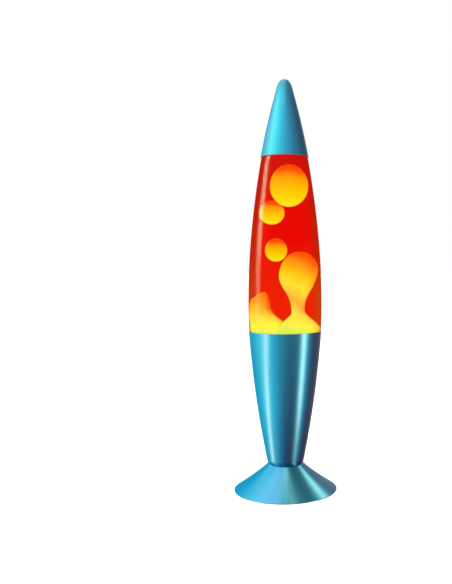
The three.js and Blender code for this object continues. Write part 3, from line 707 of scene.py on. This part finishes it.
RAISED = [
    (-180, (0.3, 0.5, 0.55)), (-160, (0.03, 0.85, 1.15)), (-142, (0.12, 1.1, 1.4)), (-128, (1.2, 1.5, 1.4)),
    (-110, (1.6, 1.6, 1.45)), (-80, (2.3, 2.5, 1.85)), (-50, (1.1, 2.15, 1.8)), (-28, (0.64, 1.65, 1.55)),
    (-10, (0.62, 1.25, 1.3)), (5, (0.6, 1.02, 1.15)), (32, (0.56, 0.72, 0.86)), (57, (0.46, 0.46, 0.58)),
    (90, (0.36, 0.27, 0.34)), (112, (0.28, 0.22, 0.27)), (132, (0.25, 0.22, 0.26)), (155, (0.6, 0.45, 0.5)),
    (180, (0.3, 0.5, 0.55)),
]
# The light overhead, by how far left (-1) or right (1) it lies, as the foot mirrors it.
OVERHEAD = [
    (-1.0, (0.1, 0.9, 1.3)), (-0.58, (0.3, 1.28, 1.6)), (-0.46, (1.8, 1.6, 1.8)), (-0.36, (2.3, 1.62, 1.75)),
    (-0.24, (2.0, 1.4, 1.6)), (-0.11, (2.8, 1.8, 1.7)), (0.0, (3.7, 2.2, 1.8)), (0.09, (3.6, 2.2, 1.55)),
    (0.16, (1.1, 0.9, 0.72)), (0.22, (0.45, 0.48, 0.42)), (0.34, (0.28, 0.28, 0.28)),
    (1.0, (0.3, 0.28, 0.3)),
]
# Where each of these takes over, by how steeply a direction rises: from its first value to its second.
LOW_TO_LEVEL = (-0.75, -0.26)
LEVEL_TO_RAISED = (-0.25, 0.5)
RAISED_TO_OVERHEAD = (0.6, 0.85)
LEFT_RISE = 0.13  # how much further down the untinted light reaches on the left
# Bands of light as great circles. Each lies where a direction is square to the band's normal, on one side,
# and fades to its low share of brightness low down.
SIDE_FADE = (0.7, 0.9)
LOW_FADE = (-0.57, -0.38)
STRIPS = [
    # normal, side it lies on, half width, low share, colour
    ((0.4625, -0.51, -0.7125), (-0.88, -0.25, -0.38), 0.105, 1.0, (5.5, 1.25, 0.8)),
    ((0.378, 0.983, -0.228), (0.82, -0.37, -0.43), 0.15, 0.25, (6.9, 2.7, 1.75)),
]
# A soft patch behind on the right, as the foot mirrors it: its direction, sharpness and colour.
PATCH = ((0.52, 0.51, 0.665), 115, (4.2, 2.8, 2.0))


def table_of_light(t, value, most, stops, last):
    """Light from a table: value runs from -most to most, and the stops' places from -last to last."""
    share = t.node("MapRange", {"Value": value, "From Min": -most, "From Max": most}).outputs[0]
    return t.ramp(share, *[((place + last) / (2 * last), colour + (1,)) for place, colour in stops])


def studio_world():
    """White to the camera. To everything else, bright on the left, dim on the right and with soft strips."""
    world = bpy.data.worlds.new("studio")
    bpy.context.scene.world = world
    t = Tree(world)
    way = t.node("TexCoord").outputs["Generated"]
    parts = t.node("SeparateXYZ", {0: way}).outputs
    rise = parts["Z"]
    bearing = t.math("ARCTAN2", parts["X"], t.multiply(parts["Y"], -1))
    level = table_of_light(t, bearing, math.pi, LEVEL, 180)
    leaning = t.multiply(t.math("MINIMUM", parts["X"], 0.0), -LEFT_RISE)
    tint = t.mix(t.span(t.add(rise, leaning), *LOW_TO_LEVEL), LOW_TINT, WHITE)
    level = t.node("VectorMath", {0: level, 1: tint}, operation="MULTIPLY").outputs[0]
    raised = table_of_light(t, bearing, math.pi, RAISED, 180)
    overhead = table_of_light(t, parts["X"], 1, OVERHEAD, 1)
    light = t.mix(t.span(rise, *LEVEL_TO_RAISED), level, raised)
    light = t.mix(t.span(rise, *RAISED_TO_OVERHEAD), light, overhead)
    for normal, side, width, low_share, colour in STRIPS:
        band = t.bell(t.math("DIVIDE", t.dot(way, Vector(normal).normalized()), width))
        on_side = t.span(t.dot(way, Vector(side).normalized()), *SIDE_FADE)
        share = t.multiply(on_side, t.span(rise, *LOW_FADE, low_share, 1.0))
        light = t.add_colour(light, t.mix(t.multiply(band, share), BLACK, colour + (1,)))
    towards, sharpness, colour = PATCH
    short = t.math("SUBTRACT", t.dot(way, Vector(towards).normalized()), 1)
    glow = t.math("EXPONENT", t.multiply(short, sharpness))
    light = t.add_colour(light, t.mix(glow, BLACK, colour + (1,)))
    seen = t.node("LightPath").outputs["Is Camera Ray"]
    lit = t.node("Background", {"Color": light, "Strength": 1.0}).outputs[0]
    plain = t.node("Background", {"Color": WHITE, "Strength": 1.0}).outputs[0]
    t.finish(t.mix_shader(seen, lit, plain), "OutputWorld")


def bottle_light(bottle):
    """A tall soft light on the left that only the bottle shows, as a streak down its side."""
    data = bpy.data.lights.new("bottle_strip", "AREA")
    data.shape = "RECTANGLE"
    data.size = 1.6
    data.size_y = 0.34
    data.energy = 276
    data.color = (0.55, 0.85, 0.5)
    thing = bpy.data.objects.new("bottle_strip", data)
    thing.location = (-0.9, 0.0, 0.8)
    thing.rotation_euler = (0, 0.2 - math.pi / 2, 0)
    bpy.context.scene.collection.objects.link(thing)
    only = bpy.data.collections.new("bottle_only")
    only.objects.link(bottle)
    thing.light_linking.receiver_collection = only


def floor():
    """A wide pale sheet that the lamp's metal doesn't mirror."""
    made, t = material("pale_floor")
    cloud = t.span(t.noise(3, 2), 0.3, 0.7)
    shader = t.node("BsdfPrincipled", {
        "Base Color": t.mix(cloud, (0.86, 0.86, 0.86, 1), (0.88, 0.88, 0.88, 1)), "Roughness": 0.9,
        "Specular IOR Level": 0.0, "Emission Color": WHITE, "Emission Strength": 0.6,
    })
    t.finish(shader.outputs[0])
    half = 12
    corners = [(-half, -half, 0), (half, -half, 0), (half, half, 0), (-half, half, 0)]
    plane = piece("floor", corners, [[0, 1, 2, 3]])
    plane.data.materials.append(made)
    plane.visible_glossy = False


def camera():
    """Level with the bottle and a hair out of plumb. The lens shift puts the lamp right of the middle."""
    data = bpy.data.cameras.new("camera")
    data.lens = 46.63
    data.shift_x = -0.1517
    data.shift_y = -0.0547
    data.clip_end = 40
    thing = bpy.data.objects.new("camera", data)
    thing.location = (0.03, -0.765, 0.231)
    thing.rotation_euler = (math.pi / 2, 0.003, 0)
    bpy.context.scene.collection.objects.link(thing)
    bpy.context.scene.camera = thing


# ---------------------------------------------------------------- assembly
BLUE = painted_metal()
GLASS = glass()
RED = liquid_material()
# The wax's colour and painted glow by its share of the height, from below: painted light, yellow near the
# lamp and orange higher up.
BLOB_GLOW = [
    (0.0, (250, 240, 40)), (0.15, (255, 226, 4)), (0.62, (255, 170, 2)), (0.73, (253, 142, 6)),
    (0.82, (250, 86, 2)), (1.0, (246, 60, 2)),
]
COLUMN_GLOW = [
    (0.06, (205, 250, 92)), (0.16, (252, 250, 78)), (0.23, (253, 236, 72)), (0.42, (254, 180, 60)),
    (0.6, (254, 232, 56)), (0.7, (254, 215, 28)), (0.88, (253, 144, 15)), (0.94, (252, 98, 6)),
    (1.0, (248, 84, 3)),
]
MOUND_GLOW = [
    (0.06, (224, 253, 88)), (0.15, (254, 251, 72)), (0.28, (254, 218, 60)), (0.4, (252, 164, 30)),
    (0.52, (248, 122, 12)),
]

show(lamp_cap(), "cap", "blue_aluminium", BLUE, "lamp_cap")
bottle = show(glass_bottle(), "globe", "clear_glass", GLASS, "glass_bottle")
show(liquid(), "globe", "red_liquid", RED, "liquid")
pool_low, pool_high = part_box("liquid")[0].z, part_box("wax_pool")[1].z
# After the heights come the painted shade on the right side: how far it moves the orange down, and how far
# it turns the right side orange.
column_wax = wax("wax_column", pool_low, pool_high, 0.08, 0.35, *COLUMN_GLOW)
pool, column_count = wax_pool()
show(pool, "globe", "orange_wax", column_wax, "wax_pool")
pool.data.materials.append(wax("wax_mound", pool_low, pool_high, 0.03, 0.9, *MOUND_GLOW))
for face in pool.data.polygons[column_count:]:
    face.material_index = 1
for which in ("upper", "middle", "lower"):
    node = "wax_blob_" + which
    low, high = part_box(node)
    blob_wax = wax(node, low.z, high.z, 0.04, 0.0, *BLOB_GLOW)
    show(wax_blob(node), "blob_" + which, "orange_wax", blob_wax, node)
show(cup(), "base", "blue_aluminium", BLUE, "base_cup")
show(foot(), "base", "blue_aluminium", BLUE, "base_foot")

VINYL = plain_plastic("cord_vinyl", srgb(24, 24, 26), 0.38, 500, 0.03 * MM)
show(cord_to_switch(), "base", "cord_vinyl", VINYL, "cord_to_switch")
show(cord_to_plug(), "base", "cord_vinyl", VINYL, "cord_to_plug")

dress_cad({
    "blue_aluminium": BLUE,
    "clear_glass": GLASS,
    "red_liquid": RED,
    "orange_wax": column_wax,
    "plated_steel": plain_metal("plated_steel", srgb(196, 198, 202), 0.28),
    "brass": plain_metal("brass", srgb(214, 178, 96), 0.3),
    "liner_plastic": plain_plastic("liner_plastic", srgb(226, 223, 212), 0.6, 300, 0.02 * MM),
    "black_plastic": plain_plastic("black_plastic", srgb(26, 26, 28), 0.5, 900, 0.04 * MM),
    "cord_vinyl": VINYL,
    "black_rubber": plain_plastic("black_rubber", srgb(24, 24, 24), 0.75, 700, 0.03 * MM, 0.3),
    "dark_felt": felt(),
    "phenolic": plain_plastic("phenolic", srgb(52, 40, 34), 0.45, 400, 0.02 * MM),
})

studio_world()
bottle_light(bottle)
floor()
camera()
bpy.context.scene.view_settings.view_transform = "Standard"
